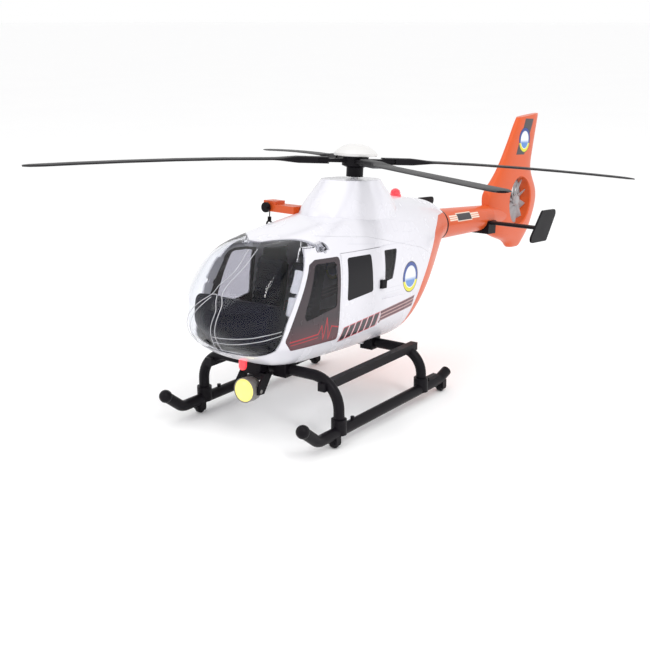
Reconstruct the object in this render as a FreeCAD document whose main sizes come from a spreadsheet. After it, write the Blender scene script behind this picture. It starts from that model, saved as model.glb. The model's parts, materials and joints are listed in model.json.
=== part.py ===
import FreeCAD, Part
import math
import os
import re
import Sketcher
from FreeCAD import Placement, Rotation, Vector

# A battery toy of a light rescue helicopter with a ducted tail fan.
# The airframe is drawn level, with the rotor axis on X = Y = 0, the nose towards -Y, the port side
# towards +X and heights from a datum just under the skids. It is then pitched nose-up on its
# undercarriage, which is drawn in the ground frame, and the whole model is moved so that the origin
# is on the ground in the middle of its footprint.

doc = FreeCAD.newDocument("toy_helicopter")

# ------------------------------------------------------------------ driving dimensions (mm, degrees)

DIMENSIONS = [
    ("pitch_angle", 4.56, "nose-up attitude of the airframe on its skids"),
    ("pitch_height", 100.0, "height of the axis about which the airframe is pitched"),
    ("footprint_centre", 74.42, "distance from the rotor axis to the middle of the footprint"),
    ("skin_thickness", 1.8, "fuselage mouldings"),
    ("canopy_thickness", 1.5, "clear canopy"),
    ("panel_gap", 0.3, "gap round doors and windows"),
    ("canopy_gap", 0.6, "gap round the canopy"),
    ("door_front", -75.0, "sliding door, front edge"),
    ("door_rear", -17.0, "sliding door, rear edge"),
    ("door_bottom", 62.0, "sliding door, lower edge"),
    ("door_top", 131.0, "sliding door, upper edge"),
    ("door_thickness", 1.6, "sliding door"),
    ("door_travel", 50.0, "how far a sliding door runs aft"),
    ("door_clearance", 0.35, "between a sliding door and the body side that it passes"),
    ("hinge_station", -92.0, "canopy hinge axis, lengthwise"),
    ("hinge_height", 135.0, "canopy hinge axis, height"),
    ("hinge_pin_radius", 1.2, "canopy hinge pin"),
    ("running_clearance", 0.08, "radial clearance of running fits"),
    ("floor_height", 62.5, "underside of the cabin floor"),
    ("floor_thickness", 2.0, "cabin floor"),
    ("bulkhead_station", 38.0, "front face of the rear bulkhead"),
    ("boom_start", 140.4, "front end of the tail boom"),
    ("boom_height", 134.0, "axis of the tail boom"),
    ("boom_root_radius", 14.3, "tail boom at its root"),
    ("boom_tip_radius", 12.2, "tail boom at the fin"),
    ("boom_wall", 1.6, "tail boom wall"),
    ("collar_radius", 15.0, "dark collar at the boom root"),
    ("fan_station", 304.5, "tail fan axis, lengthwise"),
    ("fan_height", 148.3, "tail fan axis, height"),
    ("duct_radius", 25.0, "tail fan duct"),
    ("shroud_half_width", 9.0, "half the width of the fan shroud"),
    ("fin_half_width", 4.5, "half the thickness of the fin above the shroud"),
    ("fan_radius", 23.6, "tail fan, over the blades"),
    ("fan_hub_radius", 6.0, "tail fan hub"),
    ("fan_blade_count", 10, "tail fan blades"),
    ("fan_shaft_radius", 1.5, "stub shaft of the tail fan"),
    ("stabiliser_half_span", 69.0, "to the middle of an endplate"),
    ("stabiliser_station", 231.0, "middle of the stabiliser bar, lengthwise"),
    ("stabiliser_height", 130.5, "middle of the stabiliser bar"),
    ("stabiliser_chord", 12.0, "stabiliser bar, front to back"),
    ("stabiliser_thickness", 3.6, "stabiliser bar"),
    ("endplate_thickness", 2.0, "endplates"),
    ("endplate_top", 148.3, "upper edge of an endplate"),
    ("endplate_bottom", 118.3, "lower edge of an endplate"),
    ("mast_radius", 3.0, "steel rotor mast"),
    ("mast_foot", 138.0, "lower end of the mast"),
    ("hub_height", 196.5, "middle of the rotor hub"),
    ("hub_radius", 11.0, "rotor hub"),
    ("hub_thickness", 8.0, "rotor hub"),
    ("arm_length", 33.0, "rotor hub arm, from the axis"),
    ("arm_width", 9.0, "rotor hub arm"),
    ("collar_height", 9.0, "collar under the rotor hub"),
    ("cap_radius", 18.0, "dome cap on the rotor hub"),
    ("cap_height", 9.5, "dome cap on the rotor hub"),
    ("rotor_radius", 265.0, "rotor, over the blade tips"),
    ("blade_chord", 19.0, "rotor blade"),
    ("blade_thickness", 2.2, "rotor blade"),
    ("blade_root", 25.0, "inner end of a blade, from the axis"),
    ("rotor_azimuth", -126.1, "rest angle of the first blade, from the port side"),
    ("gear_module", 0.8, "rotor gears"),
    ("gear_teeth", 48, "gear on the mast"),
    ("pinion_teeth", 12, "gear on the motor"),
    ("gear_width", 4.0, "rotor gears"),
    ("gear_height", 151.0, "underside of the rotor gears"),
    ("gear_backlash", 0.12, "total backlash of the rotor gears"),
    ("plate_height", 146.0, "underside of the drive plate"),
    ("plate_thickness", 2.5, "drive plate"),
    ("motor_radius", 10.0, "motor can"),
    ("motor_length", 24.0, "motor can"),
    ("motor_shaft_radius", 1.0, "motor shaft"),
    ("skid_half_track", 66.7, "middle of a skid from the centre plane"),
    ("skid_height", 11.0, "axis of the skid tube"),
    ("skid_radius", 4.4, "skid tube"),
    ("cross_tube_radius", 4.2, "cross tubes"),
    ("front_tube_station", -112.0, "front cross tube, lengthwise"),
    ("front_tube_height", 51.3, "front cross tube"),
    ("rear_tube_station", 8.0, "rear cross tube, lengthwise"),
    ("rear_tube_height", 43.6, "rear cross tube"),
    ("rail_half_track", 55.4, "middle of a step rail from the centre plane"),
    ("rail_height", 45.1, "middle of a step rail"),
    ("rail_width", 6.4, "step rail"),
    ("rail_front", -119.0, "front end of a step rail"),
    ("rail_rear", 15.0, "rear end of a step rail"),
    ("wheel_radius", 4.0, "ground wheel"),
    ("wheel_width", 4.4, "ground wheel"),
    ("wheel_axle_radius", 1.2, "stub axle of a ground wheel"),
    ("front_wheel_station", -118.0, "front wheels, lengthwise"),
    ("rear_wheel_station", 41.5, "rear wheels, lengthwise"),
    ("lamp_radius", 9.6, "searchlight"),
    ("lamp_station", -130.0, "middle of the searchlight, lengthwise"),
    ("lamp_height", 27.5, "middle of the searchlight"),
    ("winch_station", -41.0, "middle of the winch arm, lengthwise"),
    ("winch_reach", 57.0, "outer end of the winch arm from the centre plane"),
    ("winch_height", 156.0, "axis of the winch drum"),
    ("drum_radius", 2.6, "winch drum"),
    ("cell_radius", 5.2, "AAA cell"),
    ("cell_length", 44.5, "AAA cell"),
]

sheet = doc.addObject("Spreadsheet::Sheet", "dims")
for row, (alias, value, note) in enumerate(DIMENSIONS, start=1):
    sheet.set(f"A{row}", alias)
    sheet.set(f"B{row}", str(value))
    sheet.set(f"C{row}", note)
    sheet.setAlias(f"B{row}", alias)

# Cross-sections of the fuselage: station, half width, top, bottom, how far up the widest point is,
# and how square the upper and lower halves are (2 is an ellipse).
STATIONS = [
    (-177.0, 2.0, 90.0, 84.0, 0.50, 2.0, 2.0),
    (-175.5, 10.0, 96.5, 79.5, 0.48, 2.2, 2.2),
    (-173.0, 18.5, 102.0, 75.0, 0.46, 2.5, 2.4),
    (-169.0, 28.5, 108.5, 70.0, 0.45, 2.8, 2.6),
    (-163.0, 36.5, 115.5, 64.0, 0.43, 3.1, 2.9),
    (-154.0, 40.8, 124.5, 58.0, 0.42, 3.3, 3.2),
    (-140.0, 42.8, 136.0, 51.5, 0.42, 3.4, 3.4),
    (-120.0, 43.6, 143.0, 47.5, 0.42, 3.5, 3.5),
    (-90.0, 43.8, 149.0, 46.5, 0.42, 3.4, 3.5),
    (-60.0, 43.6, 154.5, 46.5, 0.42, 3.2, 3.5),
    (-25.0, 42.4, 160.0, 47.0, 0.42, 2.9, 3.5),
    (0.0, 41.6, 163.2, 48.0, 0.42, 2.6, 3.5),
    (35.0, 40.6, 165.5, 51.5, 0.42, 2.3, 3.6),
    (70.0, 36.0, 164.0, 69.0, 0.43, 2.1, 3.0),
    (100.0, 27.0, 160.8, 90.0, 0.45, 2.0, 2.3),
    (119.0, 20.0, 157.2, 105.5, 0.48, 2.0, 2.1),
    (137.0, 15.2, 149.8, 118.6, 0.50, 2.0, 2.0),
]
STATION_COLUMNS = "BCDEFGH"
station_sheet = doc.addObject("Spreadsheet::Sheet", "stations")
for row, station in enumerate(STATIONS, start=1):
    for column, value in zip(STATION_COLUMNS, station):
        station_sheet.set(f"{column}{row}", str(value))
doc.recompute()


def value_of(expression):
    """The value of a number or of a sheet expression."""
    if isinstance(expression, str):
        return float(sheet.evalExpression(expression))
    return float(expression)


def bound(expression):
    """The same expression as other objects have to write it, with the sheet's name before each alias."""
    return re.sub(r"[a-z]\w*", lambda alias: "dims." + alias[0], str(expression))


def dim(alias):
    return float(getattr(sheet, alias))


AIRFRAME = Placement(Vector(0, 0, 0), Rotation(Vector(1, 0, 0), -dim("pitch_angle")),
                     Vector(0, 0, dim("pitch_height")))
GROUND = Placement()
TO_ORIGIN = Placement(Vector(0, -dim("footprint_centre"), 0), Rotation())
PORT, STARBOARD = 1, -1
SIDES = {"port": PORT, "starboard": STARBOARD}
nodes = {}


def publish(node, piece, frame=AIRFRAME):
    """Name a finished sub-part and move it from its drawing frame to the model's frame."""
    piece.Label = node
    piece.Placement = TO_ORIGIN.multiply(frame).multiply(piece.Placement)
    nodes[node] = piece


def publish_shape(node, shape, frame=AIRFRAME):
    feature = doc.addObject("Part::Feature", node)
    feature.Shape = shape
    publish(node, feature, frame)


# ------------------------------------------------------------------ helpers for bodies and sketches

def new_body(name):
    return doc.addObject("PartDesign::Body", name + "_body")


def sketch_on(body, role, offset=None):
    """A sketch on one of the body's own origin planes, moved along the plane's normal if asked."""
    plane = next(item for item in body.Origin.OriginFeatures if item.Role == role)
    sketch = body.newObject("Sketcher::SketchObject", "sketch")
    sketch.AttachmentSupport = (plane, [""])
    sketch.MapMode = "FlatFace"
    if offset is not None:
        sketch.setExpression("AttachmentOffset.Base.z", bound(offset))
    return sketch


def bind(sketch, kind, geometry, point, expression):
    """Hold one coordinate of a sketch point at a value from the sheet."""
    constraint = Sketcher.Constraint(kind, -1, 1, geometry, point, value_of(expression))
    index = sketch.addConstraint(constraint)
    if isinstance(expression, str):
        sketch.setExpression(f"Constraints[{index}]", bound(expression))


def draw_outline(sketch, corners):
    """A closed outline. A corner is (u, v), or (u, v, via_u, via_v) where an arc leads to it."""
    first = sketch.GeometryCount
    places = [Vector(value_of(corner[0]), value_of(corner[1]), 0) for corner in corners]
    count = len(corners)
    for index in range(count):
        start = places[index]
        end = places[(index + 1) % count]
        target = corners[(index + 1) % count]
        if len(target) == 4:
            via = Vector(value_of(target[2]), value_of(target[3]), 0)
            sketch.addGeometry(Part.Arc(start, via, end))
        else:
            sketch.addGeometry(Part.LineSegment(start, end))
    for index, corner in enumerate(corners):
        if any(len(item) == 4 for item in corners):
            continue
        following = first + (index + 1) % count
        sketch.addConstraint(Sketcher.Constraint("Coincident", first + index, 2, following, 1))
        bind(sketch, "DistanceX", first + index, 1, corner[0])
        bind(sketch, "DistanceY", first + index, 1, corner[1])


def draw_rectangle(sketch, low_u, low_v, high_u, high_v):
    draw_outline(sketch, [(low_u, low_v), (high_u, low_v), (high_u, high_v), (low_u, high_v)])


def draw_circle(sketch, radius, u=0, v=0):
    place = Vector(value_of(u), value_of(v), 0)
    index = sketch.addGeometry(Part.Circle(place, Vector(0, 0, 1), value_of(radius)))
    bind(sketch, "DistanceX", index, 3, u)
    bind(sketch, "DistanceY", index, 3, v)
    constraint = sketch.addConstraint(Sketcher.Constraint("Radius", index, value_of(radius)))
    if isinstance(radius, str):
        sketch.setExpression(f"Constraints[{constraint}]", bound(radius))


def extrude(body, kind, sketch, length, symmetric=False, reverse=False):
    feature = body.newObject("PartDesign::" + kind, kind)
    feature.Profile = sketch
    feature.SideType = "Symmetric" if symmetric else "One side"
    feature.Reversed = reverse
    if isinstance(length, str):
        feature.setExpression("Length", bound(length))
    else:
        feature.Length = length
    return feature


def pad(body, sketch, length, symmetric=False, reverse=False):
    return extrude(body, "Pad", sketch, length, symmetric, reverse)


def pocket(body, sketch, length, symmetric=False, reverse=False):
    return extrude(body, "Pocket", sketch, length, symmetric, reverse)


def revolve(body, sketch, axis="V_Axis"):
    feature = body.newObject("PartDesign::Revolution", "Revolution")
    feature.Profile = sketch
    feature.ReferenceAxis = (sketch, [axis])
    feature.Angle = 360
    return feature


def polar_pattern(body, originals, sketch, count):
    feature = body.newObject("PartDesign::PolarPattern", "PolarPattern")
    feature.Originals = originals
    feature.Axis = (sketch, ["N_Axis"])
    feature.Angle = 360
    feature.Occurrences = count
    body.Tip = feature
    return feature


def turned(name, outline):
    """A body of revolution about its Z axis, from an outline of radii and heights."""
    body = new_body(name)
    sketch = sketch_on(body, "XZ_Plane")
    draw_outline(sketch, outline)
    revolve(body, sketch)
    return body


def placed(piece, x=0.0, y=0.0, z=0.0, rotation=None):
    piece.Placement = Placement(Vector(value_of(x), value_of(y), value_of(z)), rotation or Rotation())
    return piece


def primitive(kind, x, y, z, rotation=None, **sizes):
    """A Part primitive whose sizes and place are bound to the sheet."""
    piece = doc.addObject("Part::" + kind, kind)
    for name, size in sizes.items():
        if isinstance(size, str):
            piece.setExpression(name, bound(size))
        else:
            setattr(piece, name, size)
    return placed(piece, x, y, z, rotation)


def box(x, y, z, length, width, height):
    return primitive("Box", x, y, z, Length=length, Width=width, Height=height)


def cylinder(x, y, z, radius, height, rotation=None):
    return primitive("Cylinder", x, y, z, rotation, Radius=radius, Height=height)


def fuse(*pieces):
    feature = doc.addObject("Part::MultiFuse", "Fuse")
    feature.Shapes = list(pieces)
    feature.Refine = True
    return feature


def cut(base, *tools):
    feature = doc.addObject("Part::Cut", "Cut")
    feature.Base = base
    feature.Tool = tools[0] if len(tools) == 1 else fuse(*tools)
    return feature


ALONG_X = Rotation(Vector(0, 1, 0), 90)
ALONG_Y = Rotation(Vector(1, 0, 0), -90)
FACING_FORWARD = Rotation(Vector(1, 0, 0), 90)


def rounded_route(corners, radius):
    """The lines and tangent arcs of a planar route through corner points."""
    pieces = []
    start = corners[0]
    for before, corner, after in zip(corners, corners[1:], corners[2:]):
        incoming = (corner - before).normalize()
        outgoing = (after - corner).normalize()
        turn = incoming.getAngle(outgoing)
        setback = radius * math.tan(turn / 2)
        enter = corner - incoming * setback
        leave = corner + outgoing * setback
        inward = (outgoing - incoming).normalize()
        middle = corner + inward * (radius / math.cos(turn / 2) - radius)
        pieces.append(Part.LineSegment(start, enter))
        pieces.append(Part.Arc(enter, middle, leave))
        start = leave
    pieces.append(Part.LineSegment(start, corners[-1]))
    return pieces


def tube(name, corners, bend_radius, tube_radius):
    """A bent round bar along a planar route, swept from its first end."""
    start = corners[0]
    along = (corners[1] - start).normalize()
    offsets = [corner - start for corner in corners[2:]]
    sideways = max((v - along * v.dot(along) for v in offsets), key=lambda v: v.Length).normalize()
    body = new_body(name)
    profile = sketch_on(body, "XY_Plane")
    draw_circle(profile, tube_radius)
    route = sketch_on(body, "XZ_Plane")
    local = [Vector((c - start).dot(sideways), (c - start).dot(along), 0) for c in corners]
    for piece in rounded_route(local, bend_radius):
        route.addGeometry(piece)
    sweep = body.newObject("PartDesign::AdditivePipe", "AdditivePipe")
    sweep.Profile = profile
    sweep.Spine = route
    body.Placement = Placement(start, Rotation(sideways, Vector(), along, "ZXY"))
    return body


# ------------------------------------------------------------------ helpers for the moulded skins

def superellipse(half_width, low, middle, high, power_low, power_high, place, count=32):
    """A closed smooth wire; place turns (across, up) into a point.

    Every wire has the same parameters, so that a loft through many of them stays simple."""
    points = []
    for index in range(count):
        angle = 2 * math.pi * index / count - math.pi / 2
        across = math.cos(angle)
        up = math.sin(angle)
        power = power_high if up > 0 else power_low
        height = high - middle if up > 0 else middle - low
        reach = (abs(across) ** power + abs(up) ** power) ** (-1 / power)
        points.append(place(half_width * reach * across, middle + height * reach * up))
    curve = Part.BSplineCurve()
    curve.interpolate(Points=points, PeriodicFlag=True, Parameters=[float(index) for index in range(count + 1)])
    return Part.Wire(curve.toShape())


def station_values():
    for row in range(1, len(STATIONS) + 1):
        yield [float(station_sheet.get(f"{column}{row}")) for column in STATION_COLUMNS]


def section_wire(station, inset=0.0, at=None):
    y, half_width, top, bottom, fraction, power_high, power_low = station
    middle = bottom + (top - bottom) * fraction
    y = y if at is None else at
    return superellipse(half_width - inset, bottom + inset, middle, top - inset,
                        power_low, power_high, lambda across, up: Vector(across, y, up))


NOSE_ROUNDING = -150.0


def fuselage_solid(inset=0.0):
    """The outer form of the fuselage, or the same form a wall's thickness inside it."""
    wires = []
    stations = list(station_values())
    for station in stations:
        y = station[0]
        if y < NOSE_ROUNDING:
            y += inset
        if station is stations[-1]:
            y -= inset
        if min(station[1], (station[2] - station[3]) / 2) > inset + 1.0:
            wires.append(section_wire(station, inset, y))
    return Part.makeLoft(wires, True)


def side_prism(corners, low_x, high_x, radius=0.0):
    """A solid with a side-view outline of (y, z) corners, between two x planes."""
    points = [Vector(low_x, y, z) for y, z in corners]
    solid = Part.Face(Part.makePolygon(points + points[:1])).extrude(Vector(high_x - low_x, 0, 0))
    if radius:
        edges = [edge for edge in solid.Edges if abs(edge.tangentAt(edge.FirstParameter).x) > 0.99]
        solid = solid.makeFillet(radius, edges)
    return solid


def plan_prism(corners, low_z, high_z):
    """A solid with a plan outline of (x, y) corners, between two heights."""
    points = [Vector(x, y, low_z) for x, y in corners]
    return Part.Face(Part.makePolygon(points + points[:1])).extrude(Vector(0, 0, high_z - low_z))


def block(low, high):
    """A box between two opposite corners."""
    size = Vector(*high) - Vector(*low)
    return Part.makeBox(size.x, size.y, size.z, Vector(*low))


def grown(corners, gap):
    """An outline with each edge moved outwards by gap (inwards if negative)."""
    count = len(corners)
    area = sum(corners[i][0] * corners[(i + 1) % count][1] - corners[(i + 1) % count][0] * corners[i][1]
               for i in range(count))
    sign = 1 if area > 0 else -1
    result = []
    for i in range(count):
        here = Vector(*corners[i], 0)
        back = (here - Vector(*corners[i - 1], 0)).normalize()
        ahead = (Vector(*corners[(i + 1) % count], 0) - here).normalize()
        normal_back = Vector(back.y, -back.x, 0) * sign
        normal_ahead = Vector(ahead.y, -ahead.x, 0) * sign
        shift = (normal_back + normal_ahead) * (gap / (1 + normal_back.dot(normal_ahead)))
        result.append((here.x + shift.x, here.y + shift.y))
    return result


def on_side(solid, side):
    """Mirror a port solid to starboard when asked."""
    return solid if side == PORT else solid.mirror(Vector(0, 0, 0), Vector(1, 0, 0))


# ------------------------------------------------------------------ outlines, as (y, z) in side view

FAR = 60.0
CANOPY_SILL = 58.5
CANOPY_REAR_EDGE = [(-160.0, CANOPY_SILL), (-149.0, 67.0), (-142.0, 86.0), (-125.5, 116.0), (-114.0, 135.0),
                    (-112.0, 137.0)]
CANOPY_TOP_EDGE = [(-44.0, -86.0), (-36.5, -95.0), (-16.0, -119.0), (-6.0, -129.0), (6.0, -129.0),
                   (16.0, -119.0), (36.5, -95.0), (44.0, -86.0)]
CANOPY_SPLIT_HEIGHT = 137.0
DOOR_PANEL = [(-143.0, 73.0), (-134.5, 64.8), (-77.0, 64.8), (-77.0, 129.0), (-107.0, 129.0), (-114.5, 126.0)]
DOOR_PANEL_WINDOW = [(-124.0, 84.0), (-81.0, 91.0), (-81.5, 125.8), (-108.0, 125.8)]
AFT_WINDOW = [(-10.5, 127.5), (-10.5, 102.0), (1.5, 103.5), (9.5, 127.5)]
DOOR_WINDOW = [(-67.0, 93.3), (-30.5, 97.0), (-33.5, 127.0), (-67.0, 127.0)]
COWL_EDGE = [(-99.0, 137.0), (-92.0, 144.5), (-32.0, 140.0), (52.0, 124.5), (74.0, 116.0)]
REAR_EDGE = [(22.0, 46.0), (38.0, 70.0), (55.0, 93.0), (74.0, 116.0), (93.0, 135.0), (113.0, 146.0), (150.0, 147.5)]


def canopy_zone(gap):
    """Everything ahead of the canopy's edges, moved aft by gap."""
    side = [(y + gap, z - gap) for y, z in CANOPY_REAR_EDGE]
    lower = side_prism([(-200.0, CANOPY_SILL - gap)] + side + [(-200.0, CANOPY_SPLIT_HEIGHT - gap)], -FAR, FAR)
    top = [(x, y + gap * 1.3) for x, y in CANOPY_TOP_EDGE]
    upper = plan_prism([(-FAR, -200.0), (-FAR, top[0][1])] + top + [(FAR, top[-1][1]), (FAR, -200.0)],
                       CANOPY_SPLIT_HEIGHT - gap, 200.0)
    return lower.fuse(upper)


def cowl_zone(gap):
    corners = [(-145.0, 137.0)] + COWL_EDGE + REAR_EDGE[4:] + [(150.0, 200.0), (-145.0, 200.0)]
    return side_prism(grown(corners, gap), -FAR, FAR)


def rear_zone(gap):
    return side_prism(grown(REAR_EDGE + [(150.0, 40.0), (20.0, 40.0)], gap), -FAR, FAR)


skin_thickness = dim("skin_thickness")
panel_gap = dim("panel_gap")
outer_form = fuselage_solid()
inner_form = fuselage_solid(skin_thickness)
skin = outer_form.cut(inner_form)
liner_form = fuselage_solid(skin_thickness + 0.3)

# ------------------------------------------------------------------ sliding doors, their tracks and openings

door_front, door_rear = dim("door_front"), dim("door_rear")
door_bottom, door_top = dim("door_bottom"), dim("door_top")
DOOR_SECTION = (0.0, 43.75, 156.0, 46.5, 0.42, 3.1, 3.5)


def door_slab(outer_inset, inner_inset, start, end, bottom, top):
    """The layer between two insets of the door's constant section, on the port side."""
    length = Vector(0, end - start, 0)
    outside = Part.Face(section_wire(DOOR_SECTION, outer_inset, start)).extrude(length)
    inside = Part.Face(section_wire(DOOR_SECTION, inner_inset, start)).extrude(length)
    return outside.cut(inside).common(block((5.0, start, bottom), (FAR, end, top)))


door_opening = block((5.0, door_front, door_bottom), (FAR, door_rear, door_top))
door_track = door_slab(-4.0, dim("door_thickness") + dim("door_clearance"), door_rear - 1.0,
                       door_rear + dim("door_travel") + 2.0, door_bottom - 0.4, door_top + 0.4)
door = door_slab(0.0, dim("door_thickness"), door_front + panel_gap, door_rear - panel_gap,
                 door_bottom + panel_gap, door_top - panel_gap)
door_glass_zone = side_prism(DOOR_WINDOW, 5.0, FAR, 2.5)
door_glass = door.common(side_prism(grown(DOOR_WINDOW, -0.1), 5.0, FAR, 2.4))
door = door.cut(door_glass_zone)

# ------------------------------------------------------------------ canopy hinge

hinge_y, hinge_z = dim("hinge_station"), dim("hinge_height")
hinge_pin = dim("hinge_pin_radius")
HINGE_INNER, HINGE_OUTER = 32.6, 36.8


def along_x(radius, y, z, low_x, high_x):
    return Part.makeCylinder(radius, high_x - low_x, Vector(low_x, y, z), Vector(1, 0, 0))


def hinge_notch():
    """The room in the white mouldings for the canopy's hinge barrel as it turns, on the port side."""
    swept = along_x(5.6, hinge_y, hinge_z, HINGE_INNER - 0.3, FAR)
    swept = swept.common(block((0.0, -120.0, hinge_z - 0.6), (FAR, 0.0, 200.0)))
    barrel = along_x(2.7, hinge_y, hinge_z, HINGE_INNER - 0.3, FAR)
    web = block((HINGE_INNER - 0.3, hinge_y - 9.4, hinge_z - 1.4), (FAR, hinge_y, 150.0))
    return swept.fuse([barrel, web])


def hinge_boss():
    post = block((28.4, hinge_y - 3.4, 130.0), (HINGE_INNER - 0.3, hinge_y + 3.4, hinge_z + 3.2))
    foot = block((28.4, hinge_y - 3.4, 130.0), (FAR, hinge_y + 3.4, hinge_z - 3.1))
    hole = along_x(hinge_pin + dim("running_clearance"), hinge_y, hinge_z, 20.0, HINGE_INNER)
    return post.common(liner_form).fuse(foot.common(outer_form)).cut(hole)


canopy = outer_form.cut(fuselage_solid(dim("canopy_thickness"))).common(canopy_zone(-dim("canopy_gap")))
for side in SIDES.values():
    web = block((HINGE_INNER, hinge_y - 9.0, hinge_z - 0.8), (HINGE_OUTER, hinge_y, hinge_z + 4.0))
    barrel = along_x(2.2, hinge_y, hinge_z, HINGE_INNER, HINGE_OUTER)
    pin = along_x(hinge_pin, hinge_y, hinge_z, HINGE_INNER - 3.2, HINGE_INNER)
    canopy = canopy.fuse([on_side(web.common(outer_form), side), on_side(barrel, side), on_side(pin, side)])
publish_shape("canopy", canopy)

# ------------------------------------------------------------------ fuselage mouldings

panel_zone = side_prism(grown(DOOR_PANEL, panel_gap / 2), 5.0, FAR, 3.0)
panel_glass_zone = side_prism(DOOR_PANEL_WINDOW, 5.0, FAR, 4.0)
aft_glass_zone = side_prism(AFT_WINDOW, 5.0, FAR, 1.5)
COVER = [(-24.0, -72.0), (24.0, -72.0), (24.0, -15.0), (-24.0, -15.0)]
cover_zone = plan_prism(grown(COVER, 0.2), 30.0, dim("floor_height"))
switch_slot = block((-2.2, -8.0, 30.0), (2.2, 2.0, 60.0))
BODY_SCREWS = [(-16.0, -96.0), (16.0, -96.0), (-16.0, -2.0), (16.0, -2.0)]
COVER_SCREW = (0.0, -67.5)
SCREW_RADIUS, SCREW_HEAD_RADIUS = 1.2, 2.4
groove = block((40.9, door_rear - 1.0, 88.0), (FAR, door_rear + dim("door_travel") + 3.0, 90.4))


def upright(radius, x, y, low_z, high_z):
    return Part.makeCylinder(radius, high_z - low_z, Vector(x, y, low_z))


# Two tabs on each side carry the white shell forward under the canopy's rear edge.
TABS = [[(-141.0, 92.0), (-131.0, 88.0), (-127.0, 103.0), (-137.5, 105.0)],
        [(-137.0, 108.0), (-126.0, 106.0), (-118.0, 121.0), (-127.0, 123.5)]]
tab_layer = fuselage_solid(skin_thickness - 0.1).cut(fuselage_solid(skin_thickness + 1.4))
tabs = [tab_layer.common(side_prism(corners, 5.0, FAR, 1.5)).cut(panel_zone) for corners in TABS]

light_hole = upright(2.5, 0.0, -138.7, 40.0, 60.0)
screw_holes = [upright(SCREW_RADIUS + 0.1, x, y, 30.0, 60.0) for x, y in BODY_SCREWS]
boom_hole = Part.makeCylinder(9.1, 35.0, Vector(0, 120.0, dim("boom_height")), Vector(0, 1, 0))
shell = skin.cut([canopy_zone(0.0), cowl_zone(0.05), rear_zone(0.05), cover_zone, switch_slot, light_hole])
shell = shell.cut(screw_holes)
for side in SIDES.values():
    zones = (door_opening, door_track, panel_zone, aft_glass_zone, groove, hinge_notch())
    shell = shell.cut([on_side(zone, side) for zone in zones])
for name, side in SIDES.items():
    half = shell.common(on_side(block((0.0, -200.0, 0.0), (FAR, 200.0, 200.0)), side))
    half = half.fuse([on_side(extra, side) for extra in tabs + [hinge_boss()]])
    publish_shape("fuselage_" + name, half)
    panel = skin.common(on_side(side_prism(DOOR_PANEL, 5.0, FAR, 3.0), side))
    publish_shape("front_door_" + name, panel.cut(on_side(panel_glass_zone, side)))
    front_pane = skin.common(on_side(side_prism(grown(DOOR_PANEL_WINDOW, -0.1), 5.0, FAR, 3.9), side))
    aft_pane = skin.cut(on_side(door_track, side))
    aft_pane = aft_pane.common(on_side(side_prism(grown(AFT_WINDOW, -0.1), 5.0, FAR, 1.4), side))
    publish_shape("side_windows_" + name, Part.makeCompound([front_pane, aft_pane]))
    runner = block((41.2, -24.0, 88.4), (42.6, -19.0, 90.0))
    peg_hole = along_x(1.25, -19.6, 101.5, 30.0, FAR)
    publish_shape("sliding_door_" + name, on_side(door.cut(peg_hole).fuse(runner), side))
    publish_shape("door_window_" + name, on_side(door_glass, side))

rear = skin.common(rear_zone(-0.05)).cut(boom_hole)
publish_shape("rear_shell", rear)

# The roof cowl carries four posts for the drive plate.
PLATE_SCREWS = [(-22.5, -36.0), (22.5, -36.0), (-22.5, 18.0), (22.5, 18.0)]
plate_top = dim("plate_height") + dim("plate_thickness")
cowl = skin.common(cowl_zone(-0.05)).cut([canopy_zone(0.4), boom_hole, upright(5.0, 0, 0, 140.0, 180.0),
                                          upright(3.0, 0.0, 66.0, 150.0, 180.0)])
cowl = cowl.cut([on_side(hinge_notch(), side) for side in SIDES.values()])
posts = [upright(3.2, x, y, plate_top, 165.0).cut(upright(SCREW_RADIUS, x, y, 140.0, plate_top + 6.0))
         for x, y in PLATE_SCREWS]
cowl = cowl.fuse([post.common(fuselage_solid(1.0)) for post in posts])
publish_shape("roof_cowl", cowl)

cover = skin.common(plan_prism(COVER, 30.0, dim("floor_height")))
publish_shape("battery_cover", cover.cut(upright(SCREW_RADIUS + 0.1, *COVER_SCREW, 30.0, 60.0)))


def fairing_form(inset):
    """The streamlined housing round the mast, over the roof cowl."""
    wires = []
    for height, half_length, half_width in ((150.0, 55.0, 29.5), (163.0, 49.0, 27.0), (173.0, 39.0, 23.0),
                                            (182.0, 30.0, 19.0)):
        low, high = -5.0 - half_length + inset, -5.0 + half_length - inset
        wires.append(superellipse(half_width - inset, low, -5.0, high, 2.4, 2.4,
                                  lambda across, along: Vector(across, along, height)))
    return Part.makeLoft(wires, True)


fairing = fairing_form(0.0).cut(fairing_form(1.6).common(block((-90, -90, 0), (90, 90, 180.0))))
edges = [edge for edge in fairing.Edges if edge.BoundBox.ZMin > 181.9]
fairing = fairing.makeFillet(1.4, edges)
WINCH_STEM = ((-34.0, -46.0, 153.6), (-22.0, -36.0, 158.0))
winch_socket = block((-40.0, -46.05, 153.55), (-20.0, -35.95, 158.05))
fairing = fairing.cut([outer_form, winch_socket, upright(dim("mast_radius") + dim("running_clearance"), 0, 0, 170.0, 190.0)])
publish_shape("mast_fairing", fairing)

# ------------------------------------------------------------------ cabin

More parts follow.
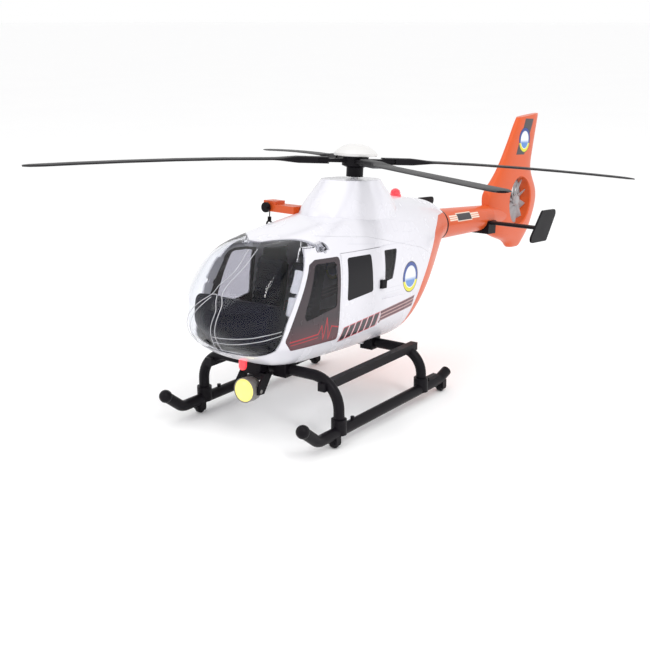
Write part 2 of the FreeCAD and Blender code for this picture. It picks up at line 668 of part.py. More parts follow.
floor_z = dim("floor_height")
floor_top = floor_z + dim("floor_thickness")
bulkhead_y = dim("bulkhead_station")
floor = liner_form.common(block((-FAR, -150.0, floor_z), (FAR, bulkhead_y + 2.0, floor_top)))
bulkhead = liner_form.common(block((-FAR, bulkhead_y, floor_z), (FAR, bulkhead_y + 2.0, 150.0)))
battery_walls = block((-20.5, -63.8, 50.2), (20.5, -16.2, floor_z)).common(liner_form)
battery_walls = battery_walls.cut(block((-18.5, -62.5, 40.0), (18.5, -17.5, floor_z)))
bosses = [upright(3.2, x, y, 40.0, floor_z).cut(upright(SCREW_RADIUS, x, y, 40.0, floor_z))
          for x, y in BODY_SCREWS + [COVER_SCREW]]
bosses = [boss.common(liner_form) for boss in bosses]
ledges = [block((low, bulkhead_y, 96.5), (low + 4.0, 74.0, 100.0)) for low in (-18.0, 14.0)]
tub = floor.fuse([bulkhead, battery_walls] + bosses + ledges)
publish_shape("cabin_tub", tub)

seats = new_body("pilot_seats")
sketch = sketch_on(seats, "YZ_Plane")
draw_rectangle(sketch, -118.0, "floor_height + floor_thickness", -86.0, "floor_height + floor_thickness + 1.5")
pad(seats, sketch, 62.0, symmetric=True)
SEAT_RIBS = 6
for inner_edge in (5.0, -29.0):
    sketch = sketch_on(seats, "YZ_Plane", inner_edge)
    outline = [(-117.0, 65.0), (-88.0, 65.0), (-79.0, 117.0), (-83.0, 121.0), (-87.5, 119.0)]
    for rib in range(SEAT_RIBS):
        height = 116.0 - 6.4 * rib
        front = -88.0 - (116.0 - height) * 0.16
        outline += [(front, height), (front - 1.4, height - 0.8), (front - 1.9, height - 4.0), (front - 0.8, height - 4.8)]
    outline += [(-96.0, 79.0), (-115.0, 76.0), (-118.0, 73.0)]
    draw_outline(sketch, outline)
    pad(seats, sketch, 24.0)
publish("pilot_seats", seats)

DASH = [(-175.0, floor_top), (-129.0, floor_top), (-131.0, 88.0), (-138.0, 97.0), (-150.0, 99.0), (-175.0, 90.0)]
dash = fuselage_solid(5.0).common(side_prism(DASH, -34.0, 34.0, 2.0))
console = side_prism([(-132.0, floor_top), (-119.0, floor_top), (-119.0, 72.0), (-132.0, 83.0)], -6.0, 6.0, 1.0)
publish_shape("instrument_panel", dash.fuse(console))

for name, side in SIDES.items():
    handle = new_body("door_handle_" + name)
    sketch = sketch_on(handle, "XY_Plane", 98.0)
    outline = [(43.85, -21.5), (45.8, -20.6), (46.2, -14.5), (44.6, -14.5), (44.6, -17.5), (43.85, -17.5)]
    draw_outline(sketch, [(x * side, y) for x, y in outline])
    pad(handle, sketch, 7.0)
    peg = cylinder(42.4 * side, -19.6, 101.5, 1.2, 2.6, ALONG_X if side == PORT else ALONG_X.inverted())
    publish("door_handle_" + name, fuse(handle, peg))

# ------------------------------------------------------------------ tail

boom_z = dim("boom_height")
boom = turned("tail_boom", [("boom_root_radius - 1.6", "boom_start"), ("boom_root_radius", "boom_start"),
                            ("boom_tip_radius", 240.0), (9.0, 240.0), (9.0, 252.0), (7.4, 252.0),
                            (7.4, 238.4), ("boom_tip_radius - boom_wall", 238.4),
                            ("boom_root_radius - boom_wall", "boom_start + 1.6"), (7.4, "boom_start + 1.6"),
                            (7.4, "boom_start - 13"), (9.0, "boom_start - 13"), (9.0, "boom_start")])
placed(boom, 0.0, 0.0, "boom_height", ALONG_Y)
publish("tail_boom", boom)
collar = turned("boom_collar", [(9.1, "boom_start - 3.35"), ("collar_radius - 0.4", "boom_start - 3.35"),
                                ("collar_radius", "boom_start - 2.9"), ("collar_radius", "boom_start - 0.5"),
                                ("collar_radius - 0.4", "boom_start - 0.05"), (9.1, "boom_start - 0.05")])
placed(collar, 0.0, 0.0, "boom_height", ALONG_Y)
publish("boom_collar", collar)

FIN_SECTIONS = [(98.5, 299.0, 320.0, 3.2), (103.0, 292.0, 326.0, 5.0), (110.0, 272.0, 333.0, 6.8),
                (120.0, 247.0, 341.0, 8.6), (132.0, 242.0, 347.5, 9.0), (143.0, 239.5, 352.0, 9.0),
                (155.0, 238.0, 352.0, 9.0), (168.0, 250.5, 343.5, 8.2), (182.0, 264.5, 335.5, 6.4),
                (194.0, 273.0, 336.5, 5.4), (216.0, 287.5, 341.0, 4.7), (234.0, 299.5, 345.0, 4.1),
                (239.0, 304.0, 346.0, 3.0)]
wires = [superellipse(half, front, (front + rear_edge) / 2, rear_edge, 2.8, 2.8,
                      lambda across, along, height=height: Vector(across, along, height))
         for height, front, rear_edge, half in FIN_SECTIONS]
fin = Part.makeLoft(wires, True)
fan_y, fan_z = dim("fan_station"), dim("fan_height")
root = Part.makeCone(dim("boom_tip_radius"), 7.0, 52.0, Vector(0, 240.05, boom_z), Vector(0, 1, 0))
fin = fin.fuse(root)
duct = along_x(dim("duct_radius"), fan_y, fan_z, -20.0, 20.0)
lips = [Part.makeCone(dim("duct_radius"), dim("duct_radius") + 2.0, 2.0, Vector(side * 7.2, fan_y, fan_z),
                      Vector(side, 0, 0)) for side in (PORT, STARBOARD)]
socket = Part.makeCylinder(9.1, 13.0, Vector(0, 239.0, boom_z), Vector(0, 1, 0))
sloping_top = side_prism([(296.0, 233.6), (350.0, 239.6), (350.0, 245.0), (296.0, 245.0)], -20.0, 20.0)
fin = fin.cut([duct, socket, sloping_top, block((-20.0, 230.0, 90.0), (20.0, 240.05, 160.0))] + lips)
publish_shape("tail_fin", fin)

stator = new_body("fan_stator")
sketch = sketch_on(stator, "XY_Plane", -8.4)
draw_circle(sketch, "duct_radius - 0.05")
draw_circle(sketch, "duct_radius - 1.0")
pad(stator, sketch, 4.0)
for turn in range(3):
    sketch = sketch_on(stator, "XY_Plane", -8.0)
    angle = math.radians(90.0 + 120.0 * turn)
    along, across = Vector(math.cos(angle), math.sin(angle), 0), Vector(-math.sin(angle), math.cos(angle), 0)
    corners = [along * -2.0 - across, along * 24.5 - across, along * 24.5 + across, along * -2.0 + across]
    draw_outline(sketch, [(corner.x, corner.y) for corner in corners])
    pad(stator, sketch, 3.0)
sketch = sketch_on(stator, "XY_Plane", -8.4)
draw_circle(sketch, "fan_hub_radius")
pad(stator, sketch, 4.0)
sketch = sketch_on(stator, "XY_Plane", -4.6)
draw_circle(sketch, "fan_shaft_radius")
pad(stator, sketch, 7.4)
placed(stator, 0.0, "fan_station", "fan_height", ALONG_X)
publish("fan_stator", stator)

fan = turned("tail_fan", [("fan_shaft_radius + running_clearance", -3.9), ("fan_hub_radius", -3.9),
                          ("fan_hub_radius", 3.0), ("fan_hub_radius - 1.6", 5.0), ("fan_hub_radius - 4", 5.8),
                          (0.0, 6.0), (0.0, 3.2), ("fan_shaft_radius + running_clearance", 3.2)])
axis_sketch = sketch_on(fan, "XY_Plane")
draw_circle(axis_sketch, 0.5)
sketch = sketch_on(fan, "YZ_Plane", "fan_hub_radius - 1")
FAN_BLADE_ANGLE = math.radians(38.0)
along = Vector(math.cos(FAN_BLADE_ANGLE), math.sin(FAN_BLADE_ANGLE), 0)
across = Vector(-along.y, along.x, 0)
corners = [along * -4.2 - across * 0.5, along * 4.2 - across * 0.5, along * 4.2 + across * 0.5, along * -4.2 + across * 0.5]
draw_outline(sketch, [(corner.x, corner.y) for corner in corners])
blade = pad(fan, sketch, "fan_radius - fan_hub_radius + 1")
polar_pattern(fan, [blade], axis_sketch, int(dim("fan_blade_count")))
placed(fan, 0.0, "fan_station", "fan_height", ALONG_X)
publish("tail_fan", fan)

bar_y, bar_z = dim("stabiliser_station"), dim("stabiliser_height")
half_span = dim("stabiliser_half_span")
half_chord = dim("stabiliser_chord") / 2
bar_wires = [superellipse(dim("stabiliser_thickness") / 2, bar_y - half_chord, bar_y, bar_y + half_chord, 2.4, 2.4,
                          lambda across, along, x=x: Vector(x, along, bar_z + across))
             for x in (-half_span, half_span)]
bar = Part.makeLoft(bar_wires, True)
END_PLATE = [(198.9, "endplate_bottom"), (238.3, "endplate_bottom"), (259.1, "endplate_top"), (225.4, "endplate_top")]
corners = [(y, value_of(z)) for y, z in END_PLATE]
half_plate = dim("endplate_thickness") / 2
plates = [side_prism(corners, side * half_span - half_plate, side * half_span + half_plate, 4.0)
          for side in (PORT, STARBOARD)]
saddle = block((-14.0, bar_y - 7.0, bar_z - 11.0), (14.0, 239.8, bar_z + 2.0))
boom_solid = Part.makeCone(dim("boom_root_radius") + 0.05, dim("boom_tip_radius") + 0.05, 240.0 - dim("boom_start"),
                           Vector(0, dim("boom_start"), boom_z), Vector(0, 1, 0))
bar = bar.fuse(plates + [saddle]).cut([boom_solid, block((-20.0, 239.9, 100.0), (20.0, 260.0, 170.0))])
publish_shape("stabiliser", bar)

# ------------------------------------------------------------------ rotor drive

plate_z = dim("plate_height")
shaft_hole = dim("mast_radius") + dim("running_clearance")
centre_distance = dim("gear_module") * (dim("gear_teeth") + dim("pinion_teeth")) / 2
plate = block((-26.5, -40.0, plate_z), (26.5, 22.0, plate_top))
plate = plate.makeFillet(3.0, [edge for edge in plate.Edges if abs(edge.tangentAt(0).z) > 0.9])
plate = plate.fuse([upright(6.0, 0, 0, plate_z - 7.0, plate_top + 0.6),
                    upright(dim("motor_radius") + 1.7, 0, -centre_distance, plate_z - 9.0, plate_z + 1.0)])
plate = plate.cut([upright(shaft_hole, 0, 0, 130.0, 160.0), upright(4.0, 0, -centre_distance, 130.0, 160.0),
                   upright(dim("motor_radius") + 0.1, 0, -centre_distance, 130.0, plate_z)]
                  + [upright(SCREW_RADIUS + 0.1, x, y, 140.0, 150.0) for x, y in PLATE_SCREWS])
publish_shape("drive_plate", plate)

motor = turned("motor", [(0.0, "plate_height - 0.05"), (0.0, "plate_height - motor_length"),
                         ("motor_radius - 1", "plate_height - motor_length"),
                         ("motor_radius", "plate_height - motor_length + 1"), ("motor_radius", "plate_height - 0.05"),
                         (3.0, "plate_height - 0.05"), (3.0, "plate_height + 1.2"),
                         (1.1, "plate_height + 1.2"), (1.1, "plate_height + 1.6"), (0.0, "plate_height + 1.6")])
placed(motor, 0.0, -centre_distance, 0.0)
publish("motor", motor)


def involute(angle):
    return math.tan(angle) - angle


def gear(name, teeth, shift, bore, hub_radius, hub_outline):
    """A spur gear about Z with its first tooth towards +X; shift is the profile shift."""
    module = dim("gear_module")
    pressure = math.radians(20.0)
    pitch = module * teeth / 2
    base = pitch * math.cos(pressure)
    tip = pitch + module * (0.95 + shift)
    foot = pitch - module * (1.25 - shift)
    thickness = module * (math.pi / 2 + 2 * shift * math.tan(pressure)) - dim("gear_backlash") / 2
    lowest = max(base, foot)
    flank = []
    for step in range(6):
        radius = lowest + (tip - lowest) * step / 5
        half = thickness / (2 * pitch) + involute(pressure) - involute(math.acos(min(1.0, base / radius)))
        flank.append((radius * math.cos(half), radius * math.sin(half)))
    start_angle = math.atan2(flank[0][1], flank[0][0])
    inside = foot - 0.4
    flank = [(inside * math.cos(start_angle), inside * math.sin(start_angle))] + flank
    outline = [(x, -y) for x, y in flank] + flank[::-1]
    body = turned(name, hub_outline(foot))
    axis = sketch_on(body, "XY_Plane")
    draw_circle(axis, bore)
    sketch = sketch_on(body, "XY_Plane")
    draw_outline(sketch, outline)
    tooth = pad(body, sketch, "gear_width")
    polar_pattern(body, [tooth], axis, teeth)
    return body


main_gear = gear("main_gear", int(dim("gear_teeth")), -0.35, "mast_radius", 7.0, lambda foot: [
    ("mast_radius + 0.02", -1.6), (5.5, -1.6), (5.5, 0.0), (foot, 0.0), (foot, "gear_width"),
    (5.5, "gear_width"), (5.5, "gear_width + 2"), ("mast_radius + 0.02", "gear_width + 2")])
placed(main_gear, 0.0, 0.0, "gear_height")
publish("main_gear", main_gear)
pinion = gear("motor_pinion", int(dim("pinion_teeth")), 0.35, "motor_shaft_radius", 2.0, lambda foot: [
    (0.0, "plate_height + 1.7 - gear_height"), ("motor_shaft_radius", "plate_height + 1.7 - gear_height"),
    ("motor_shaft_radius", -0.6), (2.4, -0.6), (2.4, 0.0), (foot, 0.0), (foot, "gear_width"), (0.0, "gear_width")])
placed(pinion, 0.0, -centre_distance, "gear_height", Rotation(Vector(0, 0, 1), 180.0 / dim("pinion_teeth")))
publish("motor_pinion", pinion)

mast = turned("rotor_mast", [(0.0, "mast_foot"), ("mast_radius - 0.4", "mast_foot"), ("mast_radius", "mast_foot + 0.4"),
                             ("mast_radius", "hub_height + 1.9"), (0.0, "hub_height + 1.9")])
publish("rotor_mast", mast)

hub = turned("rotor_hub", [("mast_radius + 0.02", "hub_height - hub_thickness / 2 - collar_height"),
                           (7.0, "hub_height - hub_thickness / 2 - collar_height"),
                           (7.0, "hub_height - hub_thickness / 2 - 1.5"), ("hub_radius", "hub_height - hub_thickness / 2"),
                           ("hub_radius", "hub_height + hub_thickness / 2"), (0.0, "hub_height + hub_thickness / 2"),
                           (0.0, "hub_height + 2"), ("mast_radius + 0.02", "hub_height + 2")])
axis_sketch = sketch_on(hub, "XY_Plane")
draw_circle(axis_sketch, 1.0)
sketch = sketch_on(hub, "XY_Plane", "hub_height - 1.5")
draw_outline(sketch, [("hub_radius - 3", "-arm_width / 2"), ("arm_length", "-arm_width / 2"),
                      ("arm_length", "arm_width / 2"), ("hub_radius - 3", "arm_width / 2")])
arm = pad(hub, sketch, 3.0)
sketch = sketch_on(hub, "XY_Plane", "hub_height - 3")
draw_circle(sketch, 1.5, 29.0, 0.0)
pin_hole = pocket(hub, sketch, 6.0, reverse=True)
polar_pattern(hub, [arm, pin_hole], axis_sketch, 4)
ROTOR_TURN = Rotation(Vector(0, 0, 1), dim("rotor_azimuth"))
placed(hub, 0.0, 0.0, 0.0, ROTOR_TURN)
publish("rotor_hub", hub)

cap_base = dim("hub_height") + dim("hub_thickness") / 2 + 0.02
cap = turned("rotor_cap", [(0.0, cap_base), ("cap_radius - 0.5", cap_base), ("cap_radius", cap_base + 0.6),
                           ("cap_radius", cap_base + 2.2), ("cap_radius - 3", cap_base + 5.2),
                           ("cap_radius - 8", cap_base + 8.2), ("cap_radius - 13", "hub_height + hub_thickness / 2 + cap_height"),
                           (0.0, "hub_height + hub_thickness / 2 + cap_height")])
publish("rotor_cap", cap)

BLADE_SECTIONS = [(24.5, 5.6, 2.8, 6.0, 0.0), (50.0, 5.6, 2.8, 6.0, 0.0), (57.0, 6.4, 2.2, 4.0, 0.0),
                  (66.0, 9.5, 1.3, 2.6, 0.0), (72.0, 9.5, 1.1, 2.2, 0.0), (110.0, 9.5, 1.1, 2.2, 0.0),
                  (150.0, 9.5, 1.1, 2.2, 0.0), (190.0, 9.5, 1.1, 2.2, 0.0), (225.0, 9.5, 1.1, 2.2, 0.0),
                  (250.0, 9.5, 1.1, 2.2, 0.0), (260.0, 7.4, 1.0, 2.2, -1.6), (265.0, 4.4, 0.7, 2.2, -3.4)]


def rotor_blade(drop):
    """A blade along +X at hub height zero, bending down by drop at its tip."""
    wires = []
    for radius, half, thick, power, sweep in BLADE_SECTIONS:
        sag = -drop * max(0.0, (radius - 66.0) / 199.0) ** 1.5
        wires.append(superellipse(half, sag - thick, sag, sag + thick, power, power,
                                  lambda across, up: Vector(radius, across + sweep, up)))
    solid = Part.makeLoft(wires, True, True)
    slot = block((20.0, -9.0, -1.7), (33.8, 9.0, 1.7))
    pin = upright(1.4, 29.0, 0.0, -1.8, 1.8)
    return solid.cut(slot).fuse(pin)


for number, drop in enumerate((10.0, 0.0, 10.0, 7.5), start=1):
    shape = rotor_blade(drop)
    shape.translate(Vector(0, 0, dim("hub_height")))
    shape.rotate(Vector(0, 0, 0), Vector(0, 0, 1), dim("rotor_azimuth") + 90.0 * (number - 1))
    publish_shape(f"rotor_blade_{number}", shape)

# ------------------------------------------------------------------ electrics and screws

for_cells = []
for x in (-12.0, 0.0, 12.0):
    can = cylinder(x, -62.0, 55.0, "cell_radius", "cell_length - 1", ALONG_Y)
    button = cylinder(x, -18.6, 55.0, 1.9, 1.0, ALONG_Y)
    for_cells.append(fuse(can, button))
cells = doc.addObject("Part::Compound", "cells")
cells.Links = for_cells
publish("batteries", cells)

board = box(-19.0, 44.0, 100.05, 38.0, 34.0, 1.6)
chip = box(-6.0, 50.0, 101.6, 12.0, 9.0, 1.8)
capacitor = cylinder(12.0, 66.0, 101.6, 3.0, 8.0)
coil = cylinder(-12.0, 66.0, 101.6, 2.6, 5.0)
publish("circuit_board", fuse(board, chip, capacitor, coil))

switch = fuse(box(-4.0, -10.2, 52.6, 8.0, 10.0, 1.6), box(-1.9, -7.6, 46.6, 3.8, 5.0, 6.6))
publish("power_switch", switch)


def screw(x, y, head_low, length):
    """A screw driven upwards; head_low is the underside of its head."""
    head = cylinder(x, y, head_low, SCREW_HEAD_RADIUS, 1.2)
    shank = cylinder(x, y, head_low + 1.2, SCREW_RADIUS - 0.05, length)
    return fuse(head, shank)


def belly_height(x, y):
    column = outer_form.common(upright(SCREW_HEAD_RADIUS, x, y, 40.0, 70.0))
    return column.BoundBox.ZMin


screw_set = [screw(x, y, belly_height(x, y) - 1.25, 12.0) for x, y in BODY_SCREWS + [COVER_SCREW]]
screw_set += [screw(x, y, plate_z - 1.25, 5.0) for x, y in PLATE_SCREWS]
screws = doc.addObject("Part::Compound", "screw_set")
screws.Links = screw_set
publish("screws", screws)

# ------------------------------------------------------------------ lights

dome = turned("beacon_dome", [(0.0, 160.5), (5.2, 160.5), (5.2, 165.6), (4.4, 166.0), (4.4, 167.2), (3.6, 169.4), (1.8, 170.6),
                              (0.0, 171.0)])
doc.recompute()
dome_shape = dome.Shape.copy()
dome_shape.translate(Vector(0, 66.0, 0))
beacon = dome_shape.cut(outer_form).fuse(upright(2.9, 0.0, 66.0, 160.0, 166.0))
publish_shape("beacon", beacon)

bulb = turned("nose_light_bulb", [(0.0, 43.6), (1.5, 44.0), (2.6, 45.0), (3.1, 46.6), (3.1, 52.0), (0.0, 52.0)])
doc.recompute()
bulb_shape = bulb.Shape.copy()
bulb_shape.translate(Vector(0, -138.7, 0))
bulb_shape = bulb_shape.cut(outer_form).fuse(upright(2.4, 0.0, -138.7, 48.0, 53.0))
publish_shape("nose_light", bulb_shape)

lamp_y, lamp_z = dim("lamp_station"), dim("lamp_height")
PAN_Y = -121.7
mount = block((-7.0, -128.0, 40.8), (7.0, -114.0, 52.0))
mount = mount.makeFillet(2.5, [edge for edge in mount.Edges
                               if edge.BoundBox.YLength < 0.01 and edge.BoundBox.XLength < 0.01])
mount = mount.cut([outer_form, upright(2.0 + dim("running_clearance"), 0.0, PAN_Y, 39.0, 46.0)])
publish_shape("searchlight_mount", mount)

yoke = new_body("searchlight_yoke")
sketch = sketch_on(yoke, "YZ_Plane", "lamp_radius + 0.5")
YOKE_ARM = [("lamp_station - 3.4", "lamp_height - 2.4"), ("lamp_station + 3.4", "lamp_height - 2.4"), (-118.3, 38.4),
            (-118.3, 40.6), (-127.0, 40.6), ("lamp_station - 3.4", "lamp_height + 4")]
draw_outline(sketch, YOKE_ARM)
pad(yoke, sketch, 1.8)
sketch = sketch_on(yoke, "XZ_Plane", "118.3")
draw_rectangle(sketch, "-lamp_radius - 2.3", 38.6, "lamp_radius + 2.3", 40.6)
pad(yoke, sketch, 9.3)
sketch = sketch_on(yoke, "YZ_Plane", "-lamp_radius - 2.3")
draw_outline(sketch, YOKE_ARM)
pad(yoke, sketch, 1.8)
sketch = sketch_on(yoke, "XY_Plane", 39.0)
draw_circle(sketch, 2.0, 0.0, PAN_Y)
pad(yoke, sketch, 6.6)
sketch = sketch_on(yoke, "YZ_Plane")
draw_circle(sketch, 1.6, "lamp_station", "lamp_height")
pocket(yoke, sketch, 40.0, symmetric=True)
publish("searchlight_yoke", yoke)

housing = turned("searchlight_lamp", [(0.0, -9.6), (3.7, -8.86), (6.8, -6.8), (8.9, -3.7), ("lamp_radius", 0.0),
                                      ("lamp_radius", 6.6), (8.9, 6.6), (8.9, 2.0), (0.0, 2.0)])
for side in (PORT, STARBOARD):
    sketch = sketch_on(housing, "YZ_Plane")
    draw_circle(sketch, 1.52)
    pivot = pad(housing, sketch, "lamp_radius + 2.2", reverse=side == STARBOARD)
sketch = sketch_on(housing, "XY_Plane", 2.0)
draw_circle(sketch, 8.9)
pocket(housing, sketch, 10.0, reverse=True)
placed(housing, 0.0, "lamp_station", "lamp_height", FACING_FORWARD)
publish("searchlight_lamp", housing)
lens = turned("searchlight_lens", [(0.0, 4.6), (8.85, 4.6), (8.85, 6.4), (7.4, 7.7), (5.2, 8.7), (2.7, 9.2), (0.0, 9.4)])
placed(lens, 0.0, "lamp_station", "lamp_height", FACING_FORWARD)
publish("searchlight_lens", lens)

# ------------------------------------------------------------------ winch, on the starboard side

winch_y, reach, drum_z = dim("winch_station"), dim("winch_reach"), dim("winch_height")
DRUM_X = -reach + 4.6
arm = new_body("winch_arm")
sketch = sketch_on(arm, "XY_Plane", "winch_height - 3.2")
draw_outline(sketch, [(-24.0, "winch_station - 9.5"), (-24.0, "winch_station + 8.5"),
                      ("-winch_reach", "winch_station + 6.5"), ("-winch_reach", "winch_station - 6.5")])
pad(arm, sketch, 6.0)
sketch = sketch_on(arm, "XY_Plane", "winch_height - 3.2")
draw_rectangle(sketch, "-winch_reach", "winch_station - 6.5", "-winch_reach + 12", "winch_station + 6.5")
pad(arm, sketch, 8.6)
sketch = sketch_on(arm, "XY_Plane", "winch_height - 4")
draw_rectangle(sketch, "-winch_reach - 1", "winch_station - 4.6", "-winch_reach + 10", "winch_station + 4.6")
pocket(arm, sketch, 8.0, reverse=True)
sketch = sketch_on(arm, "XZ_Plane", "-winch_station")
draw_circle(sketch, 1.5 + 0.08, DRUM_X, "winch_height")
pocket(arm, sketch, 40.0, symmetric=True)
doc.recompute()
arm_shape = arm.Shape.copy().cut(fairing_form(-0.02)).fuse(block(*WINCH_STEM)).cut(outer_form)
publish_shape("winch_arm", arm_shape)

drum = turned("winch_drum", [(0.0, -4.3), (3.6, -4.3), (3.6, -3.3), ("drum_radius", -3.3), ("drum_radius", 3.3),
                             (3.6, 3.3), (3.6, 4.3), (1.5, 4.3), (1.5, 8.2), (4.2, 8.2), (4.2, 10.2), (0.0, 10.2)])
sketch = sketch_on(drum, "XY_Plane", -8.0)
draw_circle(sketch, 1.5)
pad(drum, sketch, 5.0)
sketch = sketch_on(drum, "XY_Plane", 9.8)
draw_circle(sketch, 0.9, 2.8, 0.0)
pad(drum, sketch, 3.0)
placed(drum, DRUM_X, "winch_station", "winch_height", FACING_FORWARD)
publish("winch_drum", drum)

hook_x = DRUM_X - dim("drum_radius") - 0.5
line = cylinder(hook_x, "winch_station", 146.6, 0.5, 6.0)
eye = cylinder(hook_x - 0.5, "winch_station", 152.6, 0.9, 1.0, ALONG_X)
block_piece = cylinder(hook_x, "winch_station", 144.0, 1.6, 3.4)
doc.recompute()
hook_body = new_body("hook_curve")
sketch = sketch_on(hook_body, "XZ_Plane")
draw_circle(sketch, 0.8, 2.6, 0.0)
feature = hook_body.newObject("PartDesign::Revolution", "Revolution")
feature.Profile = sketch
feature.ReferenceAxis = (sketch, ["V_Axis"])
feature.Angle = 250
placed(hook_body, hook_x, "winch_station", 141.2, Rotation(Vector(1, 0, 0), 90))
publish("winch_hook", fuse(line, eye, block_piece, hook_body))

# ------------------------------------------------------------------ undercarriage, in the ground frame

outer_on_ground = outer_form.copy()
outer_on_ground.transformShape(AIRFRAME.toMatrix())


def cross_tube(name, station, height, bend):
    x, y, z = dim("skid_half_track"), dim(station), dim(height)
    corners = [Vector(x, y, 12.8), Vector(x, y, z), Vector(-x, y, z), Vector(-x, y, 12.8)]
    return tube(name, corners, bend, "cross_tube_radius")


cross_shapes = []
for name, station, height, bend in (("front_cross_tube", "front_tube_station", "front_tube_height", 24.0),
                                    ("rear_cross_tube", "rear_tube_station", "rear_tube_height", 20.0)):
    bar = cross_tube(name, station, height, bend)
    doc.recompute()
    y, z = dim(station), dim(height)
    blocks = [block((low, y - 6.5, z - 5.2), (low + 12.0, y + 6.5, z + 14.0)) for low in (-22.0, 10.0)]
    shape = bar.Shape.copy().fuse(blocks).cut(outer_on_ground)
    if name == "front_cross_tube":
        shape = shape.fuse([upright(1.5, 0.0, y, z - 9.5, z), Part.makeSphere(2.2, Vector(0.0, y, z - 9.5))])
    shape = max(shape.Solids, key=lambda solid: solid.Volume)
    cross_shapes.append(shape)
    publish_shape(name, shape, GROUND)


def frozen(shape):
    feature = doc.addObject("Part::Feature", "copy")
    feature.Shape = shape
    return feature


axle_hole = dim("wheel_axle_radius") + dim("running_clearance")
wheel_z = dim("wheel_radius")
for name, side in SIDES.items():
    x = side * dim("skid_half_track")
    z = dim("skid_height")
    runner = tube("skid_" + name, [Vector(x, 51.0, 15.2), Vector(x, 38.0, z), Vector(x, -139.0, z),
                                   Vector(x, -157.3, 24.8)], 14.0, "skid_radius")
    doc.recompute()
    shape = runner.Shape.copy().fuse([Part.makeSphere(5.2, Vector(x, -157.3, 24.8)),
                                      upright(1.6, x, -94.0, 12.0, 17.6),
                                      block((x - 2.2, 18.0, 13.0), (x + 2.2, 32.0, 18.0))])
    for tube_station in ("front_tube_station", "rear_tube_station"):
        y = dim(tube_station)
        shape = shape.fuse(upright(6.0, x, y, 9.0, 21.0))
        shape = shape.cut(upright(dim("cross_tube_radius") + 0.05, x, y, 12.7, 30.0))
    for wheel_station in ("front_wheel_station", "rear_wheel_station"):
        y = dim(wheel_station)
        ears = block((x - 4.2, y - 3.0, 2.4), (x + 4.2, y + 3.0, 11.0))
        ears = ears.makeFillet(1.8, [edge for edge in ears.Edges if edge.BoundBox.XLength > 8.0])
        well = block((x - 2.5, y - 5.0, -1.0), (x + 2.5, y + 5.0, 8.6))
        shape = shape.fuse(ears).cut([well, along_x(axle_hole, y, wheel_z, x - 9.0, x + 9.0)])
    publish_shape("skid_" + name, shape, GROUND)
    rail = new_body("step_rail_" + name)
    sketch = sketch_on(rail, "XZ_Plane", "-rail_rear")
    middle = f"{side} * rail_half_track"
    draw_rectangle(sketch, middle + " - rail_width / 2", "rail_height - rail_width / 2",
                   middle + " + rail_width / 2", "rail_height + rail_width / 2")
    pad(rail, sketch, "rail_rear - rail_front")
    publish("step_rail_" + name, cut(rail, *[frozen(shape) for shape in cross_shapes]), GROUND)
    for place, wheel_station in (("front", "front_wheel_station"), ("rear", "rear_wheel_station")):
        wheel = turned(f"wheel_{place}_{name}", [
            (0.0, -4.2), ("wheel_axle_radius", -4.2), ("wheel_axle_radius", "-wheel_width / 2"),
            ("wheel_radius - 0.4", "-wheel_width / 2"), ("wheel_radius", "-wheel_width / 2 + 0.4"),
            ("wheel_radius", "wheel_width / 2 - 0.4"), ("wheel_radius - 0.4", "wheel_width / 2"),
            ("wheel_axle_radius", "wheel_width / 2"), ("wheel_axle_radius", 4.2), (0.0, 4.2)])
        placed(wheel, x, wheel_station, "wheel_radius", ALONG_X)
        publish(f"wheel_{place}_{name}", wheel, GROUND)

# ------------------------------------------------------------------ checks and export

doc.recompute()
for item in doc.Objects:
    if "Invalid" in item.State or "Error" in item.State:
        raise RuntimeError(f"{item.Name} ({item.Label}) did not compute: {item.State}")
os.makedirs("parts", exist_ok=True)
for node, piece in nodes.items():
    if piece.Shape.isNull() or not piece.Shape.isValid():
        raise RuntimeError(f"{node} has no valid shape")
    piece.Shape.exportStep(f"parts/{node}.step")
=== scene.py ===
import json
import math
import bmesh
import bpy
from mathutils import Matrix, Vector
from mathutils.bvhtree import BVHTree


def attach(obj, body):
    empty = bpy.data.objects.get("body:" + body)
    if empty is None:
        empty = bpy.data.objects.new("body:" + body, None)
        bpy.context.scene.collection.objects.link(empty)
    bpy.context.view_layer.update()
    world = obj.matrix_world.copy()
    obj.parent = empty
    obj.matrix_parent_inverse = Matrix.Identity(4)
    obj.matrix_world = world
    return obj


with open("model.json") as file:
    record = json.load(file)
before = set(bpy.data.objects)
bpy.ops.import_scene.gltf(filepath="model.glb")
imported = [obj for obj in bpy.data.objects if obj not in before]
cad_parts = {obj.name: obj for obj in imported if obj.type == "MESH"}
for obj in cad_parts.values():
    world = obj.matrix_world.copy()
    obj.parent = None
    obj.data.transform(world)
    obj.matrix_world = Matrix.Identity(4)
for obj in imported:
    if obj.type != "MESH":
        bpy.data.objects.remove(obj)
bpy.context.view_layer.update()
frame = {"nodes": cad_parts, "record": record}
nodes = frame["nodes"]

# The airframe's own coordinates, in millimetres: nose at -Y, port at +X, level, rotor axis on X = Y = 0.
PITCH = math.radians(4.56)
PITCH_HEIGHT = 0.100
FOOTPRINT_CENTRE = 0.07442
TO_AIRFRAME = (Matrix.Scale(1000.0, 4) @ Matrix.Translation((0, 0, PITCH_HEIGHT))
               @ Matrix.Rotation(PITCH, 4, "X") @ Matrix.Translation((0, FOOTPRINT_CENTRE, -PITCH_HEIGHT)))
FROM_AIRFRAME = TO_AIRFRAME.inverted()


# ---------------------------------------------------------------- shader helpers

